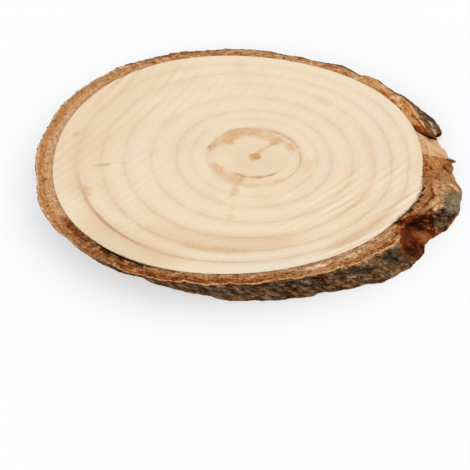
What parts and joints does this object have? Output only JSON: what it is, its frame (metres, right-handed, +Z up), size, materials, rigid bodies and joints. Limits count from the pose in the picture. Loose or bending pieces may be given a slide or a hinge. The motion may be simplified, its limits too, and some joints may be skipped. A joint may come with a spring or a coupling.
{
  "type": "wood slice",
  "caption": "Thin oval slice sawn slantwise from a round branch: a pale ringed wood disc inside a closed band of rough bark with a bare patch and a notch.",
  "frame": {"origin": "middle of the bounding box's underside, on the surface that the slice lies on", "axes": "+Z up, square to both saw cuts; +X along the oval's long side, towards the end with the bare patch, where the branch leans outwards going down; +Y along the short side"},
  "size_m": [0.1224, 0.086, 0.008],
  "materials": {
    "wood": "sawn, dry, matte",
    "bark": "rough, dry, matte"
  },
  "bodies": {
    "root": {"wood": "wood", "bark": "bark"}
  },
  "joints": []
}
